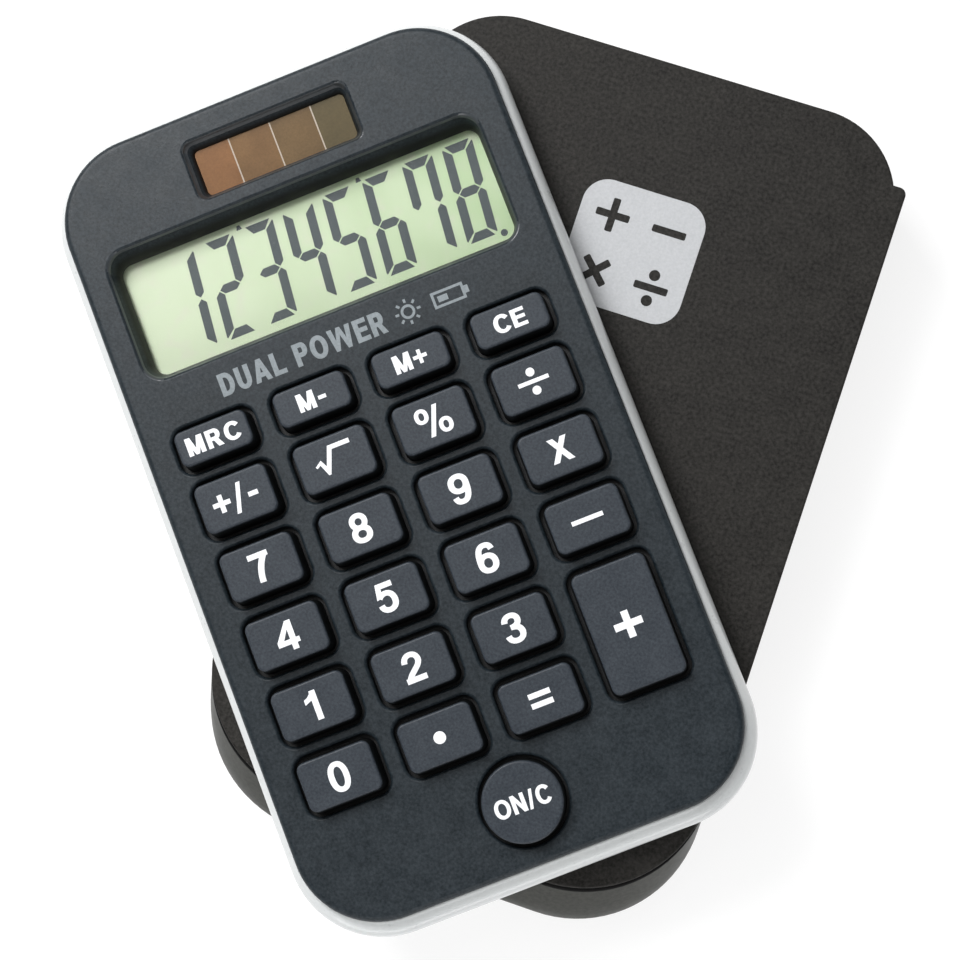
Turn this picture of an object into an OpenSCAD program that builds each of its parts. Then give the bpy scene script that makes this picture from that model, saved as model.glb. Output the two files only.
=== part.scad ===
// Pocket calculator with a slide-on hard case.
// Every piece is drawn in its own frame and then placed: the case lies plate up on
// the table, and the calculator lies face up across it, turned to one side.
// Calculator frame: X across the keyboard, Y towards the display, Z out of the face,
// with Z = 0 on its back. Case frame: Y towards the open end, Z = 0 on the table.

/* [Calculator body] */
// Width of the dark face plate
face_w = 60; // [58:0.5:62]
// Length of the dark face plate
face_l = 107.2; // [106:0.2:110]
// Corner radius of the face plate
face_r = 11; // [9:0.5:13]
// Thickness from the back to the face
body_t = 9; // [9:0.1:9.6]
// How far the pale lower case stands out at each side
rim_side = 1.4; // [1:0.1:1.8]
// How far the pale lower case stands out at the display end
rim_top = 1.3; // [1:0.1:1.8]
// How far the pale lower case stands out at the keypad end
rim_bottom = 2.3; // [1.8:0.1:2.6]
// Thickness of the face plate
face_t = 1.5; // [1.3:0.1:1.6]
// Floor thickness of the lower case
floor_t = 1.3; // [1.1:0.1:1.4]

/* [Keys] */
// Distance between key columns
col_pitch = 13.6; // [13.4:0.1:13.8]
// Distance between key rows below the function row
row_pitch = 9.46; // [9.3:0.02:9.6]
// Width of a key's top
key_w = 9.6; // [9:0.1:9.8]
// Length of an ordinary key's top
key_l = 6.3; // [6:0.1:6.4]
// Length of a memory key's top
memory_key_l = 4.5; // [4.2:0.1:4.6]
// Length of the tall add key's top
tall_key_l = 15.8; // [15.2:0.1:15.9]
// Radius of the round on key's top
round_key_r = 5.1; // [4.8:0.1:5.3]
// Height of the keys above the face
key_h = 2.3; // [1.6:0.1:2.4]
// Gap from a key's top outline to its opening, all round
key_gap = 0.85; // [0.8:0.05:0.95]
// Travel of a key
key_travel = 0.8; // [0.5:0.1:0.8]

/* [Windows] */
// Width of the display window at its bottom
lcd_w = 50.3; // [48:0.1:51]
// Height of the display window at its bottom
lcd_l = 15.5; // [14:0.1:16]
// Depth of the display window below the face
lcd_depth = 3; // [2.9:0.05:3.1]
// Width of the solar window at its bottom
sun_w = 21; // [19:0.1:22]
// Height of the solar window at its bottom
sun_l = 6.2; // [5.8:0.1:6.4]
// Depth of the solar window below the face
sun_depth = 1.9; // [1.8:0.05:2]

/* [Slide-on case] */
// Width of the case
case_w = 68; // [67.4:0.2:69]
// Length of the case
case_l = 112.4; // [112:0.2:115]
// Height of the case as it lies
case_h = 14.4; // [14.4:0.1:15]
// Thickness of the case's plate
plate_t = 1.6; // [1.4:0.1:1.6]
// Corner radius at the open end
case_r_open = 12; // [10:0.5:14]
// Corner radius at the closed end
case_r_closed = 17; // [15:0.5:18]
// Length of bare plate past the side walls at the open end
tongue = 7; // [5:0.5:10]
// How much narrower the bare plate is at each side
tongue_step = 0.9; // [0.4:0.1:1.4]
// How far the closed end leans in from its foot to the plate
end_lean = 5; // [3:0.2:5.6]

/* [Arrangement] */
// Turn of the calculator on the case
calc_turn = 39.64; // [0:0.5:60]
// Sideways place of the calculator's centre from the case's centre
calc_x = -17.12; // [-22:0.5:0]
// Lengthways place of the calculator's centre from the case's centre
calc_y = -6.7; // [-20:0.5:10]

/* [Hidden] */
$fn = 48;
e = 0.01;

// Levels through the calculator's thickness, from the back
face_z = body_t - face_t;               // underside of the face plate
glass_top = body_t - lcd_depth;         // top of the clear window
lens_t = 0.78;
lcd_top = glass_top - 0.85;             // top of the display's front glass
front_glass_t = 0.55;
rear_glass_t = 0.65;
sun_top = body_t - sun_depth;           // top of the solar window's ledge
board_z = 1.9;                          // underside of the circuit board
board_t = 0.8;
board_top = board_z + board_t;
mat_t = 0.6;
mat_top = board_top + mat_t;
dome_h = 1.3;
stem_z = mat_top + dome_h + 0.05;       // bottom of a key's stem
flange_top = face_z - 0.1;
flange_t = 0.9;
flange_z = flange_top - flange_t;

// Key rows and columns, from the face's centre
function col(i) = (i - 1.5) * col_pitch;
row_y = [11.75, 3.4, 3.4 - row_pitch + 0.1, 3.4 - 2 * row_pitch + 0.15,
         3.4 - 3 * row_pitch + 0.18, 3.4 - 4 * row_pitch + 0.2];
tall_y = (row_y[4] + row_y[5]) / 2;
on_y = -45.4;

// Windows: the openings flare towards the face
win_x = 0.15;
lcd_y = 30.5;
sun_y = 45.75;

// Fastener places
case_screw_xy = [[-24.9, 48.5], [24.9, 48.5], [-24.9, -48.5], [24.9, -48.5]];
board_screw_xy = [for (x = [-col_pitch, col_pitch])
    for (y = [(row_y[0] - memory_key_l / 2 + row_y[1] + key_l / 2) / 2, (row_y[2] + row_y[3]) / 2, -39.7]) [x, y]];
cell_xy = [17.4, 45.6];
cell_r = 5.8;
cell_h = 3.05;
cell_z = floor_t + 0.25;

// The whole assembly's box, for the origin under its middle
shell_w = face_w + 2 * rim_side;
shell_l = face_l + rim_top + rim_bottom;
shell_r = face_r + rim_side;
shell_dy = (rim_top - rim_bottom) / 2;
ct = cos(calc_turn);
st = sin(calc_turn);
shell_cx = calc_x - shell_dy * st;
shell_cy = calc_y + shell_dy * ct;
ext_x = (shell_w / 2 - shell_r) * ct + (shell_l / 2 - shell_r) * st + shell_r;
ext_y = (shell_w / 2 - shell_r) * st + (shell_l / 2 - shell_r) * ct + shell_r;
mid_x = (min(shell_cx - ext_x, -case_w / 2) + max(shell_cx + ext_x, case_w / 2)) / 2;
mid_y = (min(shell_cy - ext_y, -case_l / 2) + max(shell_cy + ext_y, case_l / 2)) / 2;

module in_case() { translate([-mid_x, -mid_y, 0]) children(); }
module in_calc() {
    translate([calc_x - mid_x, calc_y - mid_y, case_h]) rotate([0, 0, calc_turn]) children();
}

// Rounded rectangle, centred, with true arcs
module rr(w, l, r) {
    square([w - 2 * r, l], center = true);
    square([w, l - 2 * r], center = true);
    for (x = [-1, 1], y = [-1, 1]) translate([x * (w / 2 - r), y * (l / 2 - r)]) circle(r);
}
module slab(w, l, r, z0, z1) { translate([0, 0, z0]) linear_extrude(z1 - z0) rr(w, l, r); }
module box(x0, x1, y0, y1, z0, z1) { translate([x0, y0, z0]) cube([x1 - x0, y1 - y0, z1 - z0]); }
module rod(x, y, r, z0, z1) { translate([x, y, z0]) cylinder(r = r, h = z1 - z0); }

// One level of a hull: four thin corner discs of an outline from y0 to y1
module level(hw, y0, y1, r0, r1, z) {
    for (s = [-1, 1]) {
        translate([s * (hw - r0), y0 + r0, z]) cylinder(r = r0, h = e, $fn = 32);
        translate([s * (hw - r1), y1 - r1, z]) cylinder(r = r1, h = e, $fn = 32);
    }
}

// ---------------------------------------------------------------- slide-on case
module slide_case() {
    hw = case_w / 2;
    y1 = case_l / 2;
    y0 = -case_l / 2;
    wall = 1.7;
    lip_t = 1.3;
    yw = y1 - tongue;                   // the side walls stop short of the open end
    color([0.2, 0.195, 0.185]) in_case() difference() {
        union() {
            hull() {
                level(hw - 1.2, y0 + 1.2, yw, case_r_closed - 1, 0.8, 0);
                level(hw - 0.3, y0 + 0.3, yw, case_r_closed, 1, 1);
                level(hw, y0, yw, case_r_closed, 1, 2.6);
                level(hw, y0, yw, case_r_closed, 1, 6);
                level(hw - 0.05, y0 + end_lean * 0.44, yw, case_r_closed, 1, 10);
                level(hw - 0.1, y0 + end_lean, yw, case_r_closed, 1, case_h - 0.3 - e);
                level(hw - 0.4, y0 + end_lean + 0.3, yw, case_r_closed - 0.3, 0.7, case_h - e);
            }
            hull() {
                level(hw - tongue_step, y0 + 12, y1, 10, case_r_open, case_h - plate_t);
                level(hw - tongue_step, y0 + 12, y1, 10, case_r_open, case_h - 0.3 - e);
                level(hw - tongue_step - 0.3, y0 + 12, y1 - 0.3, 10, case_r_open - 0.3, case_h - e);
            }
        }
        // room for the calculator, open past the walls' ends
        hull() {
            level(hw - wall, y0 + wall, y1 + 20, case_r_closed - wall, 2, lip_t);
            level(hw - wall, y0 + wall, y1 + 20, case_r_closed - wall, 2, 6);
            level(hw - wall - 0.1, y0 + wall + end_lean * 0.42, y1 + 20, case_r_closed - wall, 2, 9.6);
            level(hw - wall - 0.2, y0 + wall + end_lean - 1.1, y1 + 20, case_r_closed - wall, 2, case_h - plate_t - e);
        }
        // inside the lips that grip the calculator's back edges
        translate([0, y0 + wall + 3.2, -1]) linear_extrude(lip_t + 2) {
            wi = hw - wall - 3.2;
            ri = case_r_closed - wall - 3;
            translate([-wi, ri]) square([2 * wi, case_l + 20]);
            translate([-wi + ri, 0]) square([2 * (wi - ri), ri + 1]);
            for (s = [-1, 1]) translate([s * (wi - ri), ri]) circle(ri);
        }
    }
}

// ---------------------------------------------------------------- calculator shells
module key_openings() {
    translate([0, 0, face_z - 1]) linear_extrude(face_t + 2) {
        for (i = [0 : 3]) translate([col(i), row_y[0]])
            rr(key_w + 2 * key_gap, memory_key_l + 2 * key_gap, 1.8);
        for (j = [1 : 5], i = [0 : 3]) if (!(i == 3 && j > 3)) translate([col(i), row_y[j]])
            rr(key_w + 2 * key_gap, key_l + 2 * key_gap, 1.8);
        translate([col(3), tall_y]) rr(key_w + 2 * key_gap, tall_key_l + 2 * key_gap, 1.8);
        translate([0, on_y]) circle(round_key_r + key_gap - 0.2);
    }
}

module flared_window(cx, cy, w, l, r, z, flare_x, flare_y, rise_r) {
    translate([cx, cy, 0]) hull() {
        level(w / 2, -l / 2, l / 2, r, r, z);
        translate([-cx, 0, 0]) level(w / 2 + flare_x, -l / 2 - flare_y, l / 2 + flare_y, r + rise_r, r + rise_r, body_t + 0.02);
    }
}

module upper_case() {
    color([0.23, 0.26, 0.285]) in_calc() difference() {
        union() {
            slab(face_w, face_l, face_r, face_z, body_t);
            // tongue that drops inside the lower case
            difference() {
                slab(face_w - 1.2, face_l - 1.2, face_r - 0.6, face_z - 1.9, face_z + 0.1);
                slab(face_w - 3.2, face_l - 3.2, face_r - 1.6, face_z - 2, face_z + 0.2);
            }
            // frames behind the two windows
            box(-28, 28, 20, 40.3, lcd_top - 0.35, face_z + 0.1);
            box(-13, 13.3, 40.9, 50.9, sun_top - 1.2, face_z + 0.1);
            for (p = case_screw_xy) rod(p[0], p[1], 1.9, floor_t + 0.75, face_z + 0.1);
            for (p = board_screw_xy) rod(p[0], p[1], 1.6, board_top, face_z + 0.1);
        }
        key_openings();
        flared_window(win_x, lcd_y, lcd_w, lcd_l, 1.6, glass_top - e, 1.15, 1.6, 1.2);
        flared_window(win_x, sun_y, sun_w, sun_l, 0.7, sun_top - e, 1.2, 1.15, 0.6);
        // pockets for the clear window, the display and the solar cell
        box(-27.2, 27.2, 20.8, 39.8, lcd_top - 0.5, glass_top);
        box(-12.1, 12.4, 41.5, 50, sun_top - 1.3, sun_top);
        // pilot holes for the screws
        for (p = case_screw_xy) rod(p[0], p[1], 0.8, floor_t, floor_t + 4.9);
        for (p = board_screw_xy) rod(p[0], p[1], 0.75, board_top - 0.1, board_top + 3);
    }
}

module lower_case() {
    fw = face_w / 2;
    yt = face_l / 2;
    top_z = face_z - 0.02;
    color([0.87, 0.88, 0.87]) in_calc() difference() {
        union() {
            difference() {
                hull() {
                    level(fw - 1.4, -yt + 0.7, yt - 1.5, face_r - 1, face_r - 1, 0);
                    level(fw + 0.2, -yt - 0.9, yt - 0.1, face_r + 0.2, face_r + 0.2, 1.1);
                    level(fw + rim_side - 0.4, -yt - rim_bottom + 0.5, yt + rim_top - 0.4, face_r + 0.9, face_r + 0.9, 2.5);
                    level(fw + rim_side, -yt - rim_bottom, yt + rim_top, shell_r, shell_r, 4.2);
                    level(fw + rim_side - 0.15, -yt - rim_bottom + 0.25, yt + rim_top - 0.15, face_r + 1.2, face_r + 1.2, 5.8);
                    level(fw + 0.85, -yt - 1.35, yt + 0.8, face_r + 0.8, face_r + 0.8, 6.9);
                    level(fw + 0.25, -yt - 0.25, yt + 0.25, face_r + 0.25, face_r + 0.25, top_z - e);
                }
                slab(face_w - 4, face_l - 4, face_r - 2, floor_t, 9);
                slab(face_w - 1, face_l - 1, face_r - 0.5, face_z - 2, 9);
            }
            // pads round the screw holes, and posts under the circuit board
            for (p = case_screw_xy) rod(p[0], p[1], 2, floor_t - 0.1, floor_t + 0.7);
            for (x = [-20.4, 0, 20.4], y = [-30, -1.3, 16.5]) rod(x, y, 1.2, floor_t - 0.1, board_z - 0.03);
            // open ring that holds the button cell
            difference() {
                rod(cell_xy[0], cell_xy[1], cell_r + 0.9, floor_t - 0.1, floor_t + 2.2);
                rod(cell_xy[0], cell_xy[1], cell_r + 0.12, floor_t - 0.2, floor_t + 3);
                box(-2, 12.6, 38, 54, 0, 9);
                box(-2, 30, 30, 40.8, 0, 9);
                rod(24.9, 48.5, 2.8, 0, 9);
            }
        }
        for (p = case_screw_xy) {
            rod(p[0], p[1], 1.9, -1, 1.1);
            rod(p[0], p[1], 1.1, 0, 3);
            rod(p[0], p[1], 2.15, floor_t + 0.7, 9);
        }
    }
}

// ---------------------------------------------------------------- display and power
module display_window() {
    color([0.8, 0.85, 0.85, 0.4]) in_calc()
        box(-27, 27, 21, 39.6, glass_top - 0.02 - lens_t, glass_top - 0.02);
}

module lcd_panel() {
    color([0.8, 0.86, 0.74]) in_calc() {
        box(-26.8, 26.8, 21.2, 39.4, lcd_top - front_glass_t, lcd_top);
        box(-26.8, 26.8, 23.2, 39.4, lcd_top - front_glass_t - rear_glass_t, lcd_top - front_glass_t);
    }
}

module zebra_connector() {
    color([0.16, 0.16, 0.17]) in_calc()
        box(-24, 24, 21.4, 23, board_top, lcd_top - front_glass_t);
}

module solar_cell() {
    color([0.45, 0.35, 0.24]) in_calc()
        box(-11.9, 12.2, 41.7, 49.8, sun_top - 1.08, sun_top - 0.03);
}

module solar_leads() {
    z = 3.3;
    r = 0.3;
    color([0.7, 0.1, 0.1]) in_calc() for (x = [-8, -5]) {
        rod(x, 43, r, z, sun_top - 1.08);
        translate([x, 43, z]) sphere(r, $fn = 24);
        translate([x, 38, z]) rotate([-90, 0, 0]) cylinder(r = r, h = 5, $fn = 24);
        translate([x, 38, z]) sphere(r, $fn = 24);
        rod(x, 38, r, board_top, z);
    }
}

module circuit_board() {
    color([0.1, 0.35, 0.2]) in_calc() difference() {
        translate([0, -5.5, 0]) slab(55, 90, 8, board_z, board_top);
        for (p = case_screw_xy) rod(p[0], p[1], 2.9, board_z - 1, board_top + 1);
        for (p = board_screw_xy) rod(p[0], p[1], 0.95, board_z - 1, board_top + 1);
    }
}

module chip_blob() {
    color([0.08, 0.08, 0.08]) in_calc() translate([-2, 31, board_top]) cylinder(r1 = 4, r2 = 2.8, h = 0.9);
}

module capacitor() {
    color([0.15, 0.2, 0.45]) in_calc() translate([-18.5, 41, 3.6]) {
        rotate([-90, 0, 0]) cylinder(r = 2, h = 6.5);
        for (s = [-1, 1]) {
            translate([s, -2.2, -0.4]) rotate([-90, 0, 0]) cylinder(r = 0.25, h = 2.3, $fn = 24);
            translate([s, -2.2, board_top - 3.6]) cylinder(r = 0.25, h = 0.5, $fn = 24);
        }
    }
}

module resistors() {
    color([0.12, 0.12, 0.13]) in_calc() for (x = [6, 11]) box(x, x + 3.2, 30, 31.6, board_top, board_top + 0.6);
}

module button_cell() {
    color([0.78, 0.78, 0.76]) in_calc() {
        rod(cell_xy[0], cell_xy[1], cell_r, cell_z + 0.5, cell_z + cell_h);
        rod(cell_xy[0], cell_xy[1], cell_r - 1, cell_z, cell_z + 0.5);
    }
}

module battery_contact_positive() {
    color([0.82, 0.72, 0.42]) in_calc() {
        box(11.1, 11.4, 42, 50, floor_t + 0.1, 4.4);
        box(11.1, 11.4, 37, 42, board_top, 3.5);
        box(9.2, 11.4, 36, 38, board_top, board_top + 0.25);
    }
}

module battery_contact_negative() {
    color([0.82, 0.72, 0.42]) in_calc() {
        box(15.4, 19.4, 37, 49, floor_t + 0.02, cell_z - 0.02);
        box(15.4, 19.4, 37, 38, cell_z - 0.05, board_z);
    }
}

// ---------------------------------------------------------------- keypad mat
module dome(x, y) { translate([x, y, mat_top - 0.05]) cylinder(r1 = 2.6, r2 = 1.5, h = dome_h + 0.05); }

module keypad_mat() {
    color([0.55, 0.56, 0.57]) in_calc() {
        difference() {
            translate([0, -17.6, 0]) slab(52.4, 66, 2, board_top, mat_top);
            for (p = case_screw_xy) rod(p[0], p[1], 2.9, 0, 9);
            for (p = board_screw_xy) rod(p[0], p[1], 1.8, 0, 9);
        }
        for (j = [0 : 5], i = [0 : 3]) if (!(i == 3 && j > 3)) dome(col(i), row_y[j]);
        dome(col(3), tall_y);
        dome(0, on_y);
    }
}

// ---------------------------------------------------------------- screws
module screw(x, y, z, head_r, head_h, shank_r, shank_l) {
    translate([x, y, z]) difference() {
        union() {
            cylinder(r = head_r, h = head_h);
            cylinder(r = shank_r, h = head_h + shank_l);
        }
        for (a = [0, 90]) rotate([0, 0, a]) translate([0, 0, 0.1])
            cube([head_r * 1.2, 0.3, 0.6], center = true);
    }
}

module board_screws() {
    color([0.6, 0.6, 0.62]) in_calc() for (p = board_screw_xy)
        screw(p[0], p[1], board_z - 0.52, 1.4, 0.5, 0.7, 3.2);
}

module case_screws() {
    color([0.6, 0.6, 0.62]) in_calc() for (p = case_screw_xy)
        screw(p[0], p[1], 0.08, 1.7, 1, 0.75, 4.6);
}

// ---------------------------------------------------------------- keys
// A moulded cap with sloping sides, a retaining flange under the face, and a stem
// over the rubber dome. The cap is hollow from below.
module key(cx, cy, w, l) {
    top = body_t + key_h;
    g = key_gap - 0.45;
    color([0.21, 0.225, 0.24]) in_calc() translate([cx, cy, 0]) {
        difference() {
            union() {
                hull() {
                    level(w / 2 + g, -l / 2 - g, l / 2 + g, 1.35, 1.35, flange_z);
                    level(w / 2 + 0.12, -l / 2 - 0.12, l / 2 + 0.12, 1.1, 1.1, top - 0.4);
                    level(w / 2 - 0.28, -l / 2 + 0.28, l / 2 - 0.28, 0.8, 0.8, top - e);
                }
                slab(w + 2 * g + 1, l + 2 * g + 1, 1.8, flange_z, flange_top);
            }
            slab(w - 2, l - 2, 0.6, flange_z - 1, top - 1.2);
        }
        rod(0, 0, 1.3, stem_z, top - 1.1);
    }
}

module round_key(cx, cy, r) {
    top = body_t + key_h;
    g = key_gap - 0.55;
    color([0.21, 0.225, 0.24]) in_calc() translate([cx, cy, 0]) {
        difference() {
            union() {
                translate([0, 0, flange_z]) cylinder(r1 = r + g, r2 = r + 0.1, h = top - 0.35 - flange_z);
                translate([0, 0, top - 0.35]) cylinder(r1 = r + 0.1, r2 = r - 0.25, h = 0.35);
                rod(0, 0, r + g + 0.6, flange_z, flange_top);
            }
            rod(0, 0, r - 1.1, flange_z - 1, top - 1.2);
        }
        rod(0, 0, 1.3, stem_z, top - 1.1);
    }
}

module small_key(i) { key(col(i), row_y[0], key_w, memory_key_l); }
module plain_key(i, j) { key(col(i), row_y[j], key_w, key_l); }

slide_case();
upper_case();
lower_case();
display_window();
lcd_panel();
zebra_connector();
solar_cell();
solar_leads();
circuit_board();
chip_blob();
capacitor();
resistors();
keypad_mat();
button_cell();
battery_contact_positive();
battery_contact_negative();
board_screws();
case_screws();
small_key(0);  // key_mrc
small_key(1);  // key_m_minus
small_key(2);  // key_m_plus
small_key(3);  // key_ce
plain_key(0, 1);  // key_sign
plain_key(1, 1);  // key_root
plain_key(2, 1);  // key_percent
plain_key(3, 1);  // key_divide
plain_key(0, 2);  // key_7
plain_key(1, 2);  // key_8
plain_key(2, 2);  // key_9
plain_key(3, 2);  // key_times
plain_key(0, 3);  // key_4
plain_key(1, 3);  // key_5
plain_key(2, 3);  // key_6
plain_key(3, 3);  // key_minus
plain_key(0, 4);  // key_1
plain_key(1, 4);  // key_2
plain_key(2, 4);  // key_3
key(col(3), tall_y, key_w, tall_key_l);  // key_plus
plain_key(0, 5);  // key_0
plain_key(1, 5);  // key_point
plain_key(2, 5);  // key_equals
round_key(0, on_y, round_key_r);  // key_on
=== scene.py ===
import bpy, bmesh, math
from mathutils import Matrix, Vector
from mathutils.geometry import delaunay_2d_cdt


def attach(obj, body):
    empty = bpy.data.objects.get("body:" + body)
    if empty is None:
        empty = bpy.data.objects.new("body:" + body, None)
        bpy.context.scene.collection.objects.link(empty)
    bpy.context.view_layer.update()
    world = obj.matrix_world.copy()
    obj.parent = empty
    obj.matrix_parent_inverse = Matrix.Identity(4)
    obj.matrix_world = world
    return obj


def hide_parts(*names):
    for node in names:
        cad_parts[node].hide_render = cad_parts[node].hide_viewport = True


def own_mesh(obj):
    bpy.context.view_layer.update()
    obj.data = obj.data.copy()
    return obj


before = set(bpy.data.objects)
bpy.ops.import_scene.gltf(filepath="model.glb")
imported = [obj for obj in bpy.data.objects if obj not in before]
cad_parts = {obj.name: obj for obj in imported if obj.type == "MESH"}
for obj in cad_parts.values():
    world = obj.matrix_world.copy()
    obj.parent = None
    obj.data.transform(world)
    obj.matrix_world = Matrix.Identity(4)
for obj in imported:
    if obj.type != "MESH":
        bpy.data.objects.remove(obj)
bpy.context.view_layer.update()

# ------------------------------------------------------------------ places, in the row frame
MM = 0.001
TURN = 39.64
CALC = Matrix.Translation((-0.00031898, -0.00244038, 0.0144)) @ Matrix.Rotation(math.radians(TURN), 4, 'Z')
CASE = Matrix.Translation((0.01680102, 0.00425962, 0.0))
TOP = 9.0                 # face of the calculator above its back, mm
KEY_TOP = 11.3
SCENE = bpy.context.scene
COLL = SCENE.collection


# ------------------------------------------------------------------ mesh helpers (all in mm)
def rrect(x0, x1, y0, y1, r0, r1, z, n=12, o=0.0):
    """One ring: rounded rectangle, bottom corners r0, top corners r1, grown by o."""
    x0 -= o; x1 += o; y0 -= o; y1 += o
    r0 = max(r0 + o, 0.02); r1 = max(r1 + o, 0.02)
    pts = []
    for cx, cy, r, a0 in ((x1 - r0, y0 + r0, r0, -90), (x1 - r1, y1 - r1, r1, 0),
                          (x0 + r1, y1 - r1, r1, 90), (x0 + r0, y0 + r0, r0, 180)):
        for i in range(n + 1):
            a = math.radians(a0 + 90.0 * i / n)
            pts.append((cx + r * math.cos(a), cy + r * math.sin(a), z))
    return pts


def circle(cx, cy, r, z, n=64):
    return [(cx + r * math.cos(2 * math.pi * i / n), cy + r * math.sin(2 * math.pi * i / n), z) for i in range(n)]


def mesh_of(name, verts, faces):
    me = bpy.data.meshes.new(name)
    me.from_pydata(verts, [], faces)
    me.validate()
    return me


def loft(rings, cap0=True, cap1=True, loop=False):
    """Verts and faces of a skin over rings of equal length."""
    n = len(rings[0])
    verts = [p for r in rings for p in r]
    faces = []
    m = len(rings)
    for i in range(m if loop else m - 1):
        a, b = i * n, ((i + 1) % m) * n
        for j in range(n):
            k = (j + 1) % n
            faces.append((a + j, a + k, b + k, b + j))
    if not loop:
        if cap0:
            faces.append(tuple(range(n - 1, -1, -1)))
        if cap1:
            faces.append(tuple((m - 1) * n + j for j in range(n)))
    return verts, faces


def merge(parts):
    verts, faces = [], []
    for v, f in parts:
        base = len(verts)
        verts += list(v)
        faces += [tuple(base + i for i in q) for q in f]
    return verts, faces


def obj_of(name, vf):
    o = bpy.data.objects.new(name, mesh_of(name, *vf))
    COLL.objects.link(o)
    return o


def box_vf(x0, x1, y0, y1, z0, z1):
    v = [(x, y, z) for z in (z0, z1) for (x, y) in ((x0, y0), (x1, y0), (x1, y1), (x0, y1))]
    return v, [(3, 2, 1, 0), (4, 5, 6, 7), (0, 1, 5, 4), (1, 2, 6, 5), (2, 3, 7, 6), (3, 0, 4, 7)]


def rod_vf(cx, cy, r, z0, z1, n=40):
    return loft([circle(cx, cy, r, z0, n), circle(cx, cy, r, z1, n)])


def prism(poly, z0, z1):
    """Extrudes one flat polygon, counterclockwise."""
    area = sum(poly[i][0] * poly[(i + 1) % len(poly)][1] - poly[(i + 1) % len(poly)][0] * poly[i][1] for i in range(len(poly)))
    if area < 0:
        poly = poly[::-1]
    return loft([[(x, y, z0) for x, y in poly], [(x, y, z1) for x, y in poly]])


def evaluated(o):
    dg = bpy.context.evaluated_depsgraph_get()
    dg.update()
    return bpy.data.meshes.new_from_object(o.evaluated_get(dg))


def boolean(o, vf, op, self_hit=False):
    cut = obj_of("cutter", vf)
    bm = bmesh.new(); bm.from_mesh(cut.data)
    bmesh.ops.recalc_face_normals(bm, faces=bm.faces); bm.to_mesh(cut.data); bm.free()
    m = o.modifiers.new("b", "BOOLEAN")
    m.object = cut
    m.operation = op
    m.solver = "EXACT"
    m.use_self = self_hit
    me = evaluated(o)
    o.modifiers.clear()
    old = o.data
    o.data = me
    bpy.data.meshes.remove(old)
    bpy.data.objects.remove(cut)
    return o


def clean(o, dist=0.002):
    bm = bmesh.new()
    bm.from_mesh(o.data)
    bmesh.ops.remove_doubles(bm, verts=bm.verts, dist=dist)
    bmesh.ops.dissolve_degenerate(bm, edges=bm.edges, dist=dist / 4)
    bmesh.ops.recalc_face_normals(bm, faces=bm.faces)
    bm.to_mesh(o.data)
    bm.free()


def finish(o, place, mats, body, stands=(), sharp=32.0, weighted=True):
    """Places a piece, shades it and hangs it on its body."""
    if not isinstance(mats, (list, tuple)):
        mats = [mats]
    slots = [p.material_index if len(mats) > 1 else 0 for p in o.data.polygons]
    o.data.materials.clear()
    for m in mats:
        o.data.materials.append(m)
    o.data.polygons.foreach_set("material_index", slots)
    o.data.transform(place @ Matrix.Scale(MM, 4))
    for p in o.data.polygons:
        p.use_smooth = True
    o.data.set_sharp_from_angle(angle=math.radians(sharp))
    if weighted:
        w = o.modifiers.new("w", "WEIGHTED_NORMAL")
        w.mode = "FACE_AREA"
        w.weight = 50
        w.keep_sharp = True
        me = evaluated(o)
        o.modifiers.clear()
        old = o.data
        o.data = me
        bpy.data.meshes.remove(old)
    o.data.name = o.name
    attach(o, body)
    if stands:
        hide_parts(*stands)
    return o


# ------------------------------------------------------------------ materials
def new_mat(name):
    m = bpy.data.materials.new(name)
    m.use_nodes = True
    nt = m.node_tree
    return m, nt, nt.nodes["Principled BSDF"]


def add(nt, kind, **props):
    n = nt.nodes.new(kind)
    for k, v in props.items():
        setattr(n, k, v)
    return n


def noise(nt, coord, scale, detail=2.0, rough=0.5, stretch=None):
    if stretch:
        mp = add(nt, "ShaderNodeMapping")
        mp.inputs["Scale"].default_value = stretch
        nt.links.new(coord, mp.inputs["Vector"])
        coord = mp.outputs["Vector"]
    n = add(nt, "ShaderNodeTexNoise")
    n.inputs["Scale"].default_value = scale
    n.inputs["Detail"].default_value = detail
    n.inputs["Roughness"].default_value = rough
    nt.links.new(coord, n.inputs["Vector"])
    return n.outputs["Fac"]


def remap(nt, value, lo, hi, a=0.0, b=1.0):
    r = add(nt, "ShaderNodeMapRange")
    r.inputs["From Min"].default_value = a
    r.inputs["From Max"].default_value = b
    r.inputs["To Min"].default_value = lo
    r.inputs["To Max"].default_value = hi
    nt.links.new(value, r.inputs["Value"])
    return r.outputs["Result"]


def mix_colour(nt, fac, c0, c1):
    x = add(nt, "ShaderNodeMix", data_type="RGBA")
    for sock, c in ((x.inputs[6], c0), (x.inputs[7], c1)):
        if isinstance(c, (tuple, list)):
            sock.default_value = (*c[:3], 1.0)
        else:
            nt.links.new(c, sock)
    nt.links.new(fac, x.inputs[0])
    return x.outputs[2]


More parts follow.
